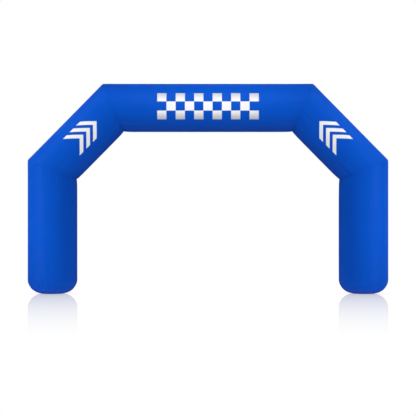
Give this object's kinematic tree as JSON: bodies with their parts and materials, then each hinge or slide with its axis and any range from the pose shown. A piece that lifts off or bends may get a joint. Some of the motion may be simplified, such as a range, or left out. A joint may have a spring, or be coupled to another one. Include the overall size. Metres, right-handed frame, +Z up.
{
  "type": "inflatable arch",
  "caption": "Free-standing inflatable arch of mitred round cloth tubes: upright legs on rounded feet, sloping shoulders and a level beam over a walk-through opening.",
  "frame": {"origin": "on the ground, midway between the legs and midway front to back", "axes": "+X across the arch, to the right of someone who faces its front; +Z up; -Y is the front"},
  "size_m": [6, 0.81, 3.49],
  "materials": {
    "coated_cloth": "air-tight coated polyester cloth in royal blue, satin, with a white chequer and white chevrons printed on the front"
  },
  "bodies": {
    "root": {"beam": "coated_cloth", "left_shoulder": "coated_cloth", "right_shoulder": "coated_cloth", "left_leg": "coated_cloth", "right_leg": "coated_cloth", "left_base": "coated_cloth", "right_base": "coated_cloth"}
  },
  "joints": []
}
